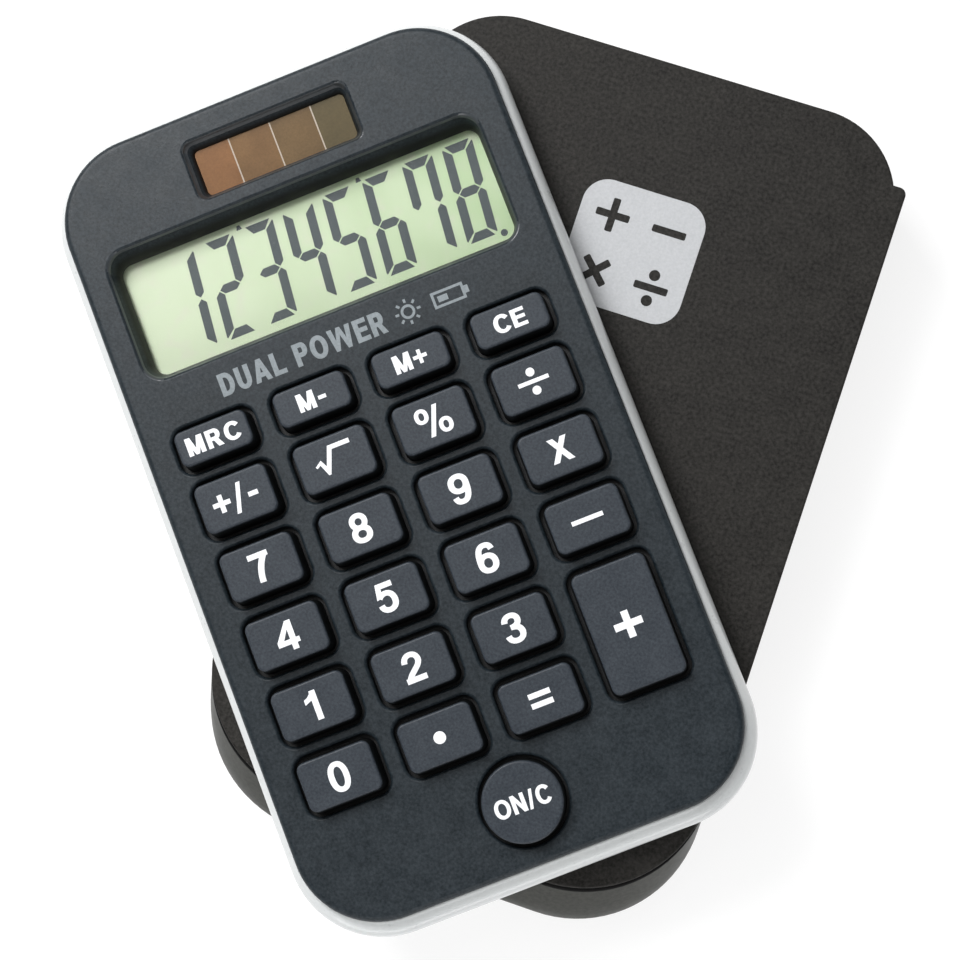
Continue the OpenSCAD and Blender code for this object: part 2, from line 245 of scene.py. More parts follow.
def moulded(name, dark, light, rough=(0.42, 0.56), grain=3200.0, depth=0.5, distance=0.00002,
            specular=0.5, mottle=260.0, cloud=0.25, coat=0.0, coat_rough=0.2, wear_and_highlight=0.0, painted_shade_below=None):
    """Moulded plastic: fine eroded grain, a little slow mottling of colour, gloss that wanders, rubbed edges lightened
    partly as wear and partly as a painted highlight, and a painted shade that darkens the colour below a given height.
    """
    m, nt, p = new_mat(name)
    co = add(nt, "ShaderNodeTexCoord").outputs["Object"]
    slow = noise(nt, co, mottle, 3.0, 0.6)
    fine = noise(nt, co, grain, 3.0, 0.65)
    speck = noise(nt, co, grain * 0.8, 2.0, 0.6)
    f = add(nt, "ShaderNodeMath", operation="ADD")
    nt.links.new(remap(nt, slow, 0.0, cloud, 0.3, 0.7), f.inputs[0])
    nt.links.new(remap(nt, speck, 0.0, 1.0 - cloud, 0.3, 0.7), f.inputs[1])
    colour = mix_colour(nt, f.outputs[0], dark, light)
    # Pointy edges lightened: partly rubbed wear, partly a painted highlight.
    if wear_and_highlight:
        g = add(nt, "ShaderNodeNewGeometry").outputs["Pointiness"]
        rub_and_highlight = add(nt, "ShaderNodeMath", operation="MULTIPLY")
        nt.links.new(remap(nt, g, 0.0, wear_and_highlight, 0.53, 0.62), rub_and_highlight.inputs[0])
        nt.links.new(remap(nt, slow, 0.2, 1.0, 0.4, 0.6), rub_and_highlight.inputs[1])
        colour = mix_colour(nt, rub_and_highlight.outputs[0], colour, tuple(min(1.0, 2.2 * v + 0.02) for v in light))
    # Painted shade: below the given height the colour runs into a near-black tone.
    if painted_shade_below:
        low, high, tone = painted_shade_below
        height = add(nt, "ShaderNodeSeparateXYZ")
        nt.links.new(co, height.inputs["Vector"])
        colour = mix_colour(nt, remap(nt, height.outputs["Z"], 0.0, 1.0, low, high), tone, colour)
    nt.links.new(colour, p.inputs["Base Color"])
    nt.links.new(remap(nt, slow, rough[0], rough[1], 0.3, 0.7), p.inputs["Roughness"])
    b = add(nt, "ShaderNodeBump")
    b.inputs["Strength"].default_value = depth
    b.inputs["Distance"].default_value = distance
    nt.links.new(fine, b.inputs["Height"])
    nt.links.new(b.outputs["Normal"], p.inputs["Normal"])
    p.inputs["Specular IOR Level"].default_value = specular
    p.inputs["Coat Weight"].default_value = coat
    p.inputs["Coat Roughness"].default_value = coat_rough
    return m


def metal(name, dark, light, rough=(0.2, 0.38), scale=900.0, stretch=(1, 1, 14)):
    m, nt, p = new_mat(name)
    co = add(nt, "ShaderNodeTexCoord").outputs["Object"]
    g = noise(nt, co, scale, 3.0, 0.6, stretch)
    nt.links.new(mix_colour(nt, remap(nt, g, 0, 1, 0.3, 0.7), dark, light), p.inputs["Base Color"])
    nt.links.new(remap(nt, g, rough[0], rough[1], 0.3, 0.7), p.inputs["Roughness"])
    b = add(nt, "ShaderNodeBump")
    b.inputs["Strength"].default_value = 0.25
    b.inputs["Distance"].default_value = 0.00001
    nt.links.new(g, b.inputs["Height"])
    nt.links.new(b.outputs["Normal"], p.inputs["Normal"])
    p.inputs["Metallic"].default_value = 1.0
    return m


# The face's skirt paints shade on its recess walls and on its outer side near the joint; its wear lightens edges,
# partly as a painted highlight.
FACE = moulded("face_plastic", (0.003, 0.007, 0.010), (0.026, 0.034, 0.041), rough=(0.40, 0.50), grain=3400, depth=0.6, distance=0.00003, specular=0.25, mottle=300, wear_and_highlight=0.2, painted_shade_below=(0.0217, 0.0224, (0.003, 0.0035, 0.004)))
# Painted highlight: a lighter, glossier copy of the face colour for the windows' rolled lips; its skirt paints shade on
# the recess walls.
FACE_LIP_HIGHLIGHT = moulded("face_lip_gloss_and_painted_highlight", (0.014, 0.019, 0.024), (0.036, 0.044, 0.051), rough=(0.30, 0.36), grain=3400, depth=0.25, distance=0.00001, specular=1.0, mottle=300, painted_shade_below=(0.0217, 0.0222, (0.003, 0.0035, 0.004)))
# The keys' skirt paints shade on their side walls below the top edge, which run to near black.
KEYS_M = moulded("key_plastic", (0.013, 0.018, 0.026), (0.040, 0.049, 0.060), rough=(0.42, 0.52), grain=3800, depth=0.45, distance=0.00002, specular=0.3, mottle=400, wear_and_highlight=0.12, painted_shade_below=(0.02505, 0.02555, (0.003, 0.0035, 0.004)))
SHELL = moulded("shell_plastic", (0.555, 0.575, 0.578), (0.59, 0.61, 0.613), rough=(0.27, 0.31), grain=2600, depth=0.05, distance=0.000005, specular=0.6, mottle=420, cloud=0.06, coat=0.5, coat_rough=0.12)
CASE_M = moulded("case_plastic", (0.007, 0.0065, 0.0058), (0.036, 0.034, 0.031), rough=(0.50, 0.60), grain=2600, depth=0.7, distance=0.00003, specular=0.13, mottle=300, wear_and_highlight=0.15)
# Painted shadow: near black, for the band under the plate's edge at the closed end.
CASE_PAINTED_SHADOW = moulded("case_painted_shadow_line", (0.002, 0.002, 0.002), (0.006, 0.006, 0.006), rough=(0.6, 0.8), grain=2600, depth=0.2, specular=0.1)
# Painted light: a lighter, greener copy of the case colour for the walls below the plate.
CASE_WALL_PAINTED_LIGHT = moulded("case_wall_painted_light", (0.016, 0.0168, 0.0135), (0.040, 0.041, 0.034), rough=(0.38, 0.48), grain=2200, depth=0.4, distance=0.00002, specular=0.2, mottle=240, wear_and_highlight=0.1)
MAT_M = moulded("silicone", (0.28, 0.29, 0.30), (0.36, 0.37, 0.38), rough=(0.5, 0.7), grain=1500, depth=0.2, specular=0.35)
BLACK = moulded("black_rubber", (0.015, 0.015, 0.016), (0.03, 0.03, 0.03), rough=(0.6, 0.8), grain=2500, depth=0.4)
BOARD = moulded("board_laminate", (0.015, 0.10, 0.035), (0.03, 0.17, 0.06), rough=(0.3, 0.45), grain=1800, depth=0.3, coat=0.3)
EPOXY = moulded("black_epoxy", (0.008, 0.008, 0.009), (0.02, 0.02, 0.021), rough=(0.12, 0.3), grain=700, depth=0.2)
SLEEVE = moulded("capacitor_sleeve", (0.012, 0.03, 0.10), (0.03, 0.055, 0.17), rough=(0.25, 0.4), grain=900, depth=0.15)
LEAD = moulded("lead_insulation", (0.36, 0.012, 0.012), (0.5, 0.03, 0.025), rough=(0.35, 0.5), grain=1200, depth=0.15)
CELL = metal("cell_steel", (0.45, 0.45, 0.43), (0.66, 0.66, 0.63))
BRASS = metal("contact_brass", (0.58, 0.42, 0.18), (0.76, 0.60, 0.32))
SCREW = metal("screw_steel", (0.40, 0.40, 0.41), (0.62, 0.62, 0.63), rough=(0.25, 0.42), scale=1400, stretch=(1, 1, 1))
INK = moulded("legend_ink", (0.80, 0.82, 0.86), (0.90, 0.91, 0.93), rough=(0.4, 0.55), grain=5200, depth=0.2, distance=0.00001, specular=0.4)
GREY_INK = moulded("face_print_ink", (0.17, 0.20, 0.215), (0.25, 0.28, 0.30), rough=(0.42, 0.55), grain=4200, depth=0.25, distance=0.00001, specular=0.4)
MARK_INK = moulded("case_print_ink", (0.42, 0.43, 0.445), (0.50, 0.51, 0.525), rough=(0.45, 0.6), grain=4200, depth=0.3, distance=0.000015, specular=0.35)
SEGMENT = moulded("lcd_segment", (0.036, 0.050, 0.056), (0.055, 0.071, 0.077), rough=(0.35, 0.45), grain=4000, depth=0.1, distance=0.000005, specular=0.3, mottle=300)


def lcd_film():
    """Green-grey reflective polariser: fine speckle, faint warm blotches, and a tone that deepens along its length as
    painted shading for the polariser's change with viewing angle.
    """
    m, nt, p = new_mat("lcd_film")
    co = add(nt, "ShaderNodeTexCoord").outputs["Object"]
    speck = noise(nt, co, 4200, 2.0, 0.6)
    blotch = noise(nt, co, 110, 2.0, 0.5)
    warm = noise(nt, co, 420, 2.0, 0.55)
    turn = add(nt, "ShaderNodeMapping", vector_type="POINT")
    turn.inputs["Rotation"].default_value = (0.0, 0.0, -math.radians(TURN))
    nt.links.new(co, turn.inputs["Vector"])
    split = add(nt, "ShaderNodeSeparateXYZ")
    nt.links.new(turn.outputs["Vector"], split.inputs["Vector"])
    # Painted shade: the film darkens and greens along its length, standing in for the polariser's change with viewing
    # angle.
    painted_view_shade = remap(nt, split.outputs["X"], 0.0, 1.0, -0.022, 0.026)
    base = mix_colour(nt, painted_view_shade, (0.645, 0.745, 0.515), (0.455, 0.62, 0.335))
    base = mix_colour(nt, remap(nt, blotch, 0, 0.35, 0.4, 0.65), base, (0.70, 0.80, 0.58))
    tint = mix_colour(nt, remap(nt, warm, 0, 0.45, 0.55, 0.75), base, (0.70, 0.68, 0.58))
    grain = mix_colour(nt, remap(nt, speck, 0, 0.22, 0.35, 0.7), tint, (0.42, 0.52, 0.36))
    nt.links.new(grain, p.inputs["Base Color"])
    nt.links.new(remap(nt, speck, 0.3, 0.42, 0.3, 0.7), p.inputs["Roughness"])
    b = add(nt, "ShaderNodeBump")
    b.inputs["Strength"].default_value = 0.1
    b.inputs["Distance"].default_value = 0.000005
    nt.links.new(speck, b.inputs["Height"])
    nt.links.new(b.outputs["Normal"], p.inputs["Normal"])
    p.inputs["Specular IOR Level"].default_value = 0.4
    return m


def solar_tile(name, c0, c1):
    """Thin amorphous silicon behind glass: brown, faintly streaked, with a smooth coat."""
    m, nt, p = new_mat(name)
    co = add(nt, "ShaderNodeTexCoord").outputs["Object"]
    streak = noise(nt, co, 240, 3.0, 0.6)
    speck = noise(nt, co, 3600, 2.0, 0.6)
    base = mix_colour(nt, remap(nt, streak, 0, 1, 0.3, 0.7), c0, c1)
    col = mix_colour(nt, remap(nt, speck, 0, 0.3, 0.35, 0.7), base, tuple(0.6 * v for v in c0))
    nt.links.new(col, p.inputs["Base Color"])
    nt.links.new(remap(nt, speck, 0.3, 0.42, 0.3, 0.7), p.inputs["Roughness"])
    b = add(nt, "ShaderNodeBump")
    b.inputs["Strength"].default_value = 0.12
    b.inputs["Distance"].default_value = 0.000006
    nt.links.new(speck, b.inputs["Height"])
    nt.links.new(b.outputs["Normal"], p.inputs["Normal"])
    p.inputs["Specular IOR Level"].default_value = 0.15
    p.inputs["Coat Weight"].default_value = 0.06
    p.inputs["Coat Roughness"].default_value = 0.12
    return m


def clear_plastic():
    m, nt, p = new_mat("clear_plastic")
    co = add(nt, "ShaderNodeTexCoord").outputs["Object"]
    smear = noise(nt, co, 90, 3.0, 0.6)
    nt.links.new(mix_colour(nt, smear, (0.10, 0.12, 0.11), (0.16, 0.18, 0.17)), p.inputs["Base Color"])
    nt.links.new(remap(nt, smear, 0.03, 0.12, 0.3, 0.7), p.inputs["Roughness"])
    p.inputs["Alpha"].default_value = 0.06
    p.inputs["IOR"].default_value = 1.49
    p.inputs["Specular IOR Level"].default_value = 0.3
    return m


LCD = lcd_film()
SUN = [solar_tile("solar_tile_%d" % i, c0, c1) for i, (c0, c1) in enumerate((
    ((0.165, 0.068, 0.016), (0.215, 0.094, 0.026)), ((0.128, 0.062, 0.015), (0.168, 0.085, 0.024)),
    ((0.100, 0.056, 0.015), (0.134, 0.076, 0.023)), ((0.070, 0.051, 0.015), (0.094, 0.066, 0.022))))]
SUN_LINE = moulded("solar_line", (0.30, 0.24, 0.17), (0.38, 0.31, 0.23), rough=(0.3, 0.4), grain=3000, depth=0.1)
CLEAR = clear_plastic()

# ------------------------------------------------------------------ key table
COLS = (-20.4, -6.8, 6.8, 20.4)
ROWS = (11.75, 3.4, -5.96, -15.37, -24.8, -34.24)
KW, KL, ML, TL, KR = 9.6, 6.3, 4.5, 15.8, 5.1
TALL_Y, ON_Y = -29.52, -45.4
KEYS = [("key_mrc", 0, 0), ("key_m_minus", 1, 0), ("key_m_plus", 2, 0), ("key_ce", 3, 0),
        ("key_sign", 0, 1), ("key_root", 1, 1), ("key_percent", 2, 1), ("key_divide", 3, 1),
        ("key_7", 0, 2), ("key_8", 1, 2), ("key_9", 2, 2), ("key_times", 3, 2),
        ("key_4", 0, 3), ("key_5", 1, 3), ("key_6", 2, 3), ("key_minus", 3, 3),
        ("key_1", 0, 4), ("key_2", 1, 4), ("key_3", 2, 4),
        ("key_0", 0, 5), ("key_point", 1, 5), ("key_equals", 2, 5)]
KEY_BOX = {k: (COLS[i], ROWS[j], KW, ML if j == 0 else KL) for k, i, j in KEYS}
KEY_BOX["key_plus"] = (COLS[3], TALL_Y, KW, TL)
GAP = 0.85


# ------------------------------------------------------------------ upper case (dark face)
def fillet_cutter(x0, x1, y0, y1, r, zb, zf, f, n=10, steps=6, o0=0.0):
    """A hole with straight walls and a rounded upper edge that runs out into the face."""
    rings = [rrect(x0, x1, y0, y1, r, r, zb, n, o0)]
    for k in range(steps + 1):
        a = math.radians(88.0 * k / steps)
        rings.append(rrect(x0, x1, y0, y1, r, r, zf - f + 0.004 + f * math.sin(a), n, o0 + f * (1 - math.cos(a))))
    rings.append(rrect(x0, x1, y0, y1, r, r, zf + 1.0, n, o0 + f))
    return loft(rings)


def window_cutter(inner, outer, ri, ro, zb, zi, zf, f, n=12, steps=7):
    """A recess whose walls lean out from inner at zi to outer near the face, then roll over."""
    rings = [rrect(*inner, ri, ri, zb, n), rrect(*inner, ri, ri, zi, n)]
    zt = zf - f * 0.75
    for k in range(1, 5):
        t = k / 4
        e = t ** 1.35
        b = [i + (o - i) * e for i, o in zip(inner, outer)]
        rings.append(rrect(*b, ri + (ro - ri) * e, ri + (ro - ri) * e, zi + (zt - zi) * t, n))
    for k in range(1, steps + 1):
        a = math.radians(35 + 53.0 * k / steps)
        d = f * (math.cos(math.radians(35)) - math.cos(a))
        z = zt + (zf + 0.003 - zt) * (math.sin(a) - math.sin(math.radians(35))) / (math.sin(math.radians(88)) - math.sin(math.radians(35)))
        rings.append(rrect(*outer, ro, ro, z, n, d))
    rings.append(rrect(*outer, ro, ro, zf + 1, n, d))
    return loft(rings)


def make_upper_case():
    f, n = 0.85, 20
    rings = []
    for z in (7.5, 7.9):
        rings.append(rrect(-30, 30, -53.6, 53.6, 11, 11, z, n))
    for k in range(0, 9):
        a = math.radians(90.0 * k / 8)
        rings.append(rrect(-30, 30, -53.6, 53.6, 11, 11, TOP - f + f * math.sin(a), n, -f * (1 - math.cos(a))))
    rings.append(rrect(-30, 30, -53.6, 53.6, 11, 11, TOP, n, -f - 0.25))
    o = obj_of("upper_case_shell", loft(rings))
    inner = [rrect(-29.4, 29.4, -53, 53, 10.4, 10.4, 5.6, n), rrect(-29.4, 29.4, -53, 53, 10.4, 10.4, 7.7, n),
             rrect(-28.4, 28.4, -52, 52, 9.4, 9.4, 7.7, n), rrect(-28.4, 28.4, -52, 52, 9.4, 9.4, 5.6, n)]
    boolean(o, merge([loft(inner, loop=True), box_vf(-28, 28, 20, 40.3, 4.8, 7.7), box_vf(-13, 13.3, 40.9, 50.9, 5.9, 7.7)]), "UNION")
    bosses = [rod_vf(x, y, 1.9, 2.05, 7.7) for x in (-24.9, 24.9) for y in (-48.5, 48.5)]
    bosses += [rod_vf(x, y, 1.6, 2.7, 7.7) for x in (-13.6, 13.6) for y in (8.025, -10.665, -39.7)]
    boolean(o, merge(bosses), "UNION")
    cuts = [box_vf(-27.2, 27.2, 20.8, 39.8, 4.5, 6.0), box_vf(-12.1, 12.4, 41.5, 50, 5.6, 7.1)]
    boolean(o, merge(cuts), "DIFFERENCE")
    cuts = []
    for k, (cx, cy, w, l) in KEY_BOX.items():
        cuts.append(fillet_cutter(cx - w / 2 - GAP, cx + w / 2 + GAP, cy - l / 2 - GAP, cy + l / 2 + GAP, 1.8, 6.9, TOP, 0.5))
    rr = KR + GAP - 0.2
    rings = [circle(0, ON_Y, rr, 6.9, 96)]
    for k in range(7):
        a = math.radians(88.0 * k / 6)
        rings.append(circle(0, ON_Y, rr + 0.5 * (1 - math.cos(a)), TOP - 0.5 + 0.004 + 0.5 * math.sin(a), 96))
    rings.append(circle(0, ON_Y, rr + 0.5, TOP + 1, 96))
    cuts.append(loft(rings))
    boolean(o, merge(cuts), "DIFFERENCE")
    boolean(o, merge([
        window_cutter((-25.05, 25.35, 22.75, 38.25), (-26.0, 25.75, 22.0, 39.65), 1.6, 2.6, 5.5, 6.05, TOP, 0.78),
        window_cutter((-10.35, 10.75, 42.6, 48.9), (-11.35, 11.4, 42.0, 49.8), 0.7, 1.2, 6.6, 7.15, TOP, 0.62)]), "DIFFERENCE")
    clean(o)
    # the windows' rolled lips come out of the mould smoother than the eroded face, and take a lighter copy of its
    # colour as a painted highlight
    for p in o.data.polygons:
        x, y, z = p.center
        if z < TOP - 0.84 or not 0.1 < p.normal.z < 0.965:
            continue
        lip = any(x0 < x < x1 and y0 < y < y1 for x0, x1, y0, y1 in ((-26.2, 25.95, 21.8, 39.85), (-11.55, 11.6, 41.8, 50.0)))
        p.material_index = 1 if lip else 0
    return finish(o, CALC, [FACE, FACE_LIP_HIGHLIGHT], "calculator", ["upper_case"])


make_upper_case()


# ------------------------------------------------------------------ lower case (pale shell)
def shell_ring(side, bottom, top, z, r, n=20):
    return rrect(-30 - side, 30 + side, -53.6 - bottom, 53.6 + top, r, r, z, n)


def make_lower_case():
    prof = [(0.0, -1.45, -0.75, -1.55, 10.0), (0.05, -1.1, -0.35, -1.2, 10.2), (0.25, -0.62, 0.18, -0.72, 10.6), (0.6, -0.18, 0.62, -0.28, 11.0),
            (1.1, 0.28, 1.02, 0.14, 11.4), (1.8, 0.74, 1.48, 0.58, 11.8), (2.6, 1.1, 1.9, 0.95, 12.1), (3.4, 1.31, 2.16, 1.2, 12.3),
            (4.2, 1.4, 2.3, 1.3, 12.4), (4.9, 1.37, 2.27, 1.27, 12.4), (5.5, 1.28, 2.16, 1.18, 12.3), (6.0, 1.13, 1.95, 1.04, 12.15),
            (6.4, 0.95, 1.67, 0.88, 12.0), (6.75, 0.74, 1.28, 0.7, 11.8), (7.0, 0.56, 0.94, 0.54, 11.6), (7.2, 0.4, 0.62, 0.39, 11.4),
            (7.35, 0.26, 0.36, 0.26, 11.26), (7.42, 0.14, 0.18, 0.14, 11.14), (7.45, 0.02, 0.02, 0.02, 11.02), (7.45, -0.44, -0.44, -0.44, 10.56)]
    rings = [shell_ring(s, b, t, z, r) for z, s, b, t, r in prof]
    rings += [rrect(-29.5, 29.5, -53.1, 53.1, 10.5, 10.5, 7.4, 20), rrect(-29.5, 29.5, -53.1, 53.1, 10.5, 10.5, 5.5, 20),
              rrect(-28, 28, -51.6, 51.6, 9, 9, 5.45, 20), rrect(-28, 28, -51.6, 51.6, 9, 9, 1.3, 20)]
    o = obj_of("lower_case_shell", loft(rings))
    posts = [rod_vf(x, y, 2.0, 1.1, 2.0) for x in (-24.9, 24.9) for y in (-48.5, 48.5)]
    posts += [rod_vf(x, y, 1.2, 1.1, 1.87) for x in (-20.4, 0, 20.4) for y in (-30, -1.3, 16.5)]
    boolean(o, merge(posts), "UNION")
    holes = []
    for x in (-24.9, 24.9):
        for y in (-48.5, 48.5):
            holes.append(loft([circle(x, y, 2.1, -0.5), circle(x, y, 2.1, 0.0), circle(x, y, 1.92, 0.14), circle(x, y, 1.9, 1.1), circle(x, y, 1.1, 1.1), circle(x, y, 1.1, 2.6)]))
    boolean(o, merge(holes), "DIFFERENCE")
    boolean(o, merge([rod_vf(x, y, 2.15, 2.0, 8.2) for x in (-24.9, 24.9) for y in (-48.5, 48.5)]), "DIFFERENCE")
    clean(o)
    return finish(o, CALC, SHELL, "calculator", ["lower_case"])


make_lower_case()


# ------------------------------------------------------------------ keys
def key_body(cx, cy, w, l, n=10):
    """Drafted cap with a rolled top edge over a retaining flange, as one closed skin; the hollow underneath is cut by
    the caller.
    """
    x0, x1, y0, y1 = cx - w / 2, cx + w / 2, cy - l / 2, cy + l / 2
    fz0, fz1 = 6.5, 7.4
    f = 0.3
    zt = KEY_TOP - f
    rings = [rrect(x0, x1, y0, y1, 0.9, 0.9, fz0, n, 0.9), rrect(x0, x1, y0, y1, 0.9, 0.9, fz1, n, 0.9),
             rrect(x0, x1, y0, y1, 0.95, 0.95, fz1, n, 0.4)]
    for t in (0.25, 0.5, 0.75):
        rings.append(rrect(x0, x1, y0, y1, 0.95, 0.95, fz1 + (zt - fz1) * t, n, 0.4 - 0.3 * t))
    for k in range(0, 8):
        a = math.radians(90.0 * k / 7)
        rings.append(rrect(x0, x1, y0, y1, 0.95, 0.95, zt + f * math.sin(a), n, 0.1 - f * (1 - math.cos(a))))
    rings.append(rrect(x0, x1, y0, y1, 0.95, 0.95, KEY_TOP - 0.004, n, -f - 0.12))
    outer = loft(rings)
    return outer


def make_key(name):
    cx, cy, w, l = KEY_BOX[name]
    o = obj_of(name + "_cap", key_body(cx, cy, w, l))
    boolean(o, merge([loft([rrect(cx - w / 2 + 1, cx + w / 2 - 1, cy - l / 2 + 1, cy + l / 2 - 1, 0.6, 0.6, z, 4) for z in (6.0, 10.1)])]), "DIFFERENCE")
    boolean(o, rod_vf(cx, cy, 1.3, 4.65, 10.2, 24), "UNION")
    clean(o)
    return finish(o, CALC, KEYS_M, name, [name])


for k in KEY_BOX:
    make_key(k)


def make_round_key():
    r, f, m = KR, 0.3, 96
    rings = [circle(0, ON_Y, r + 0.9, 6.5, m), circle(0, ON_Y, r + 0.9, 7.4, m), circle(0, ON_Y, r + 0.3, 7.4, m)]
    zt = KEY_TOP - f
    for t in (0.33, 0.66):
        rings.append(circle(0, ON_Y, r + 0.3 - 0.22 * t, 7.4 + (zt - 7.4) * t, m))
    for k in range(0, 8):
        a = math.radians(90.0 * k / 7)
        rings.append(circle(0, ON_Y, r + 0.08 - f * (1 - math.cos(a)), zt + f * math.sin(a), m))
    rings.append(circle(0, ON_Y, r - f - 0.1, KEY_TOP - 0.004, m))
    o = obj_of("key_on_cap", loft(rings))
    boolean(o, rod_vf(0, ON_Y, r - 1.1, 6.0, 10.1, 48), "DIFFERENCE")
    boolean(o, rod_vf(0, ON_Y, 1.3, 4.65, 10.2, 24), "UNION")
    clean(o)
    return finish(o, CALC, KEYS_M, "key_on", ["key_on"])


make_round_key()

# ------------------------------------------------------------------ legends
INK_Z, INK_T = KEY_TOP - 0.01, 0.035


def shift(vf, dx, dy, dz=0.0):
    return [(x + dx, y + dy, z + dz) for x, y, z in vf[0]], vf[1]


def ccw(poly):
    area = sum(poly[i][0] * poly[(i + 1) % len(poly)][1] - poly[(i + 1) % len(poly)][0] * poly[i][1] for i in range(len(poly)))
    return list(poly) if area > 0 else list(poly)[::-1]


def printed(solids, holes=(), z0=0.0, z1=INK_T):
    """A thin layer whose outline is the union of flat shapes less the holes."""
    polys = [ccw(q) for q in list(solids) + list(holes)]
    coords, faces = [], []
    for q in polys:
        faces.append(list(range(len(coords), len(coords) + len(q))))
        coords += [Vector(c) for c in q]
    verts, edges, tris, ov, oe, src = delaunay_2d_cdt(coords, [], faces, 0, 0.0005)
    n = len(solids)
    keep = [t for t, o in zip(tris, src) if any(i < n for i in o) and not any(i >= n for i in o)]
    used = sorted({i for t in keep for i in t})
    index = {v: k for k, v in enumerate(used)}
    m = len(used)
    out = [(verts[i][0], verts[i][1], z0) for i in used] + [(verts[i][0], verts[i][1], z1) for i in used]
    top = []
    for t in keep:
        t = [index[i] for i in t]
        (ax, ay), (bx, by), (cx, cy) = [(out[i][0], out[i][1]) for i in t[:3]]
        if (bx - ax) * (cy - ay) - (by - ay) * (cx - ax) < 0:
            t = t[::-1]
        top.append(t)
    sides = {(t[i], t[(i + 1) % len(t)]) for t in top for i in range(len(t))}
    made = [tuple(m + i for i in t) for t in top] + [tuple(reversed(t)) for t in top]
    made += [(a, b, m + b, m + a) for a, b in sorted(sides) if (b, a) not in sides]
    return out, made


def rect(x0, x1, y0, y1):
    return [(x0, y0), (x1, y0), (x1, y1), (x0, y1)]


def soft_rect(x0, x1, y0, y1, r=0.1):
    return [(x, y) for x, y, z in rrect(x0, x1, y0, y1, r, r, 0, 4)]


def disc(cx, cy, r, n=32):
    return [(x, y) for x, y, z in circle(cx, cy, r, 0, n)]


def cub(p0, p1, p2, p3, n=12):
    out = []
    for i in range(n + 1):
        t = i / n
        u = 1 - t
        out.append(tuple(u ** 3 * a + 3 * u * u * t * b + 3 * u * t * t * c + t ** 3 * d for a, b, c, d in zip(p0, p1, p2, p3)))
    return out


def pen(points, v, h, k=1.0):
    """Quads along a path; upright strokes are v wide and level strokes h wide."""
    pts = [points[0]]
    for q in points[1:]:
        if math.dist(q, pts[-1]) > 1e-4:
            pts.append(q)
    left, right = [], []
    for i in range(len(pts)):
        a, b = pts[max(i - 1, 0)], pts[min(i + 1, len(pts) - 1)]
        tx, ty = b[0] - a[0], b[1] - a[1]
        d = math.hypot(tx, ty)
        tx, ty = tx / d, ty / d
        w = (h * abs(tx) + v * abs(ty)) / (abs(tx) + abs(ty)) * k / 2
        left.append((pts[i][0] - ty * w, pts[i][1] + tx * w))
        right.append((pts[i][0] + ty * w, pts[i][1] - tx * w))
    return [[left[i], left[i + 1], right[i + 1], right[i]] for i in range(len(pts) - 1)]


def hoop(cx, cy, a, b, v, h, e=2.2, n=40):
    """A ring between two superellipses."""
    def at(i, aa, bb):
        t = 2 * math.pi * i / n
        c, s_ = math.cos(t), math.sin(t)
        return (cx + aa * math.copysign(abs(c) ** (2 / e), c), cy + bb * math.copysign(abs(s_) ** (2 / e), s_))
    return [[at(i, a, b), at(i + 1, a, b), at(i + 1, a - v, b - h), at(i, a - v, b - h)] for i in range(n)]


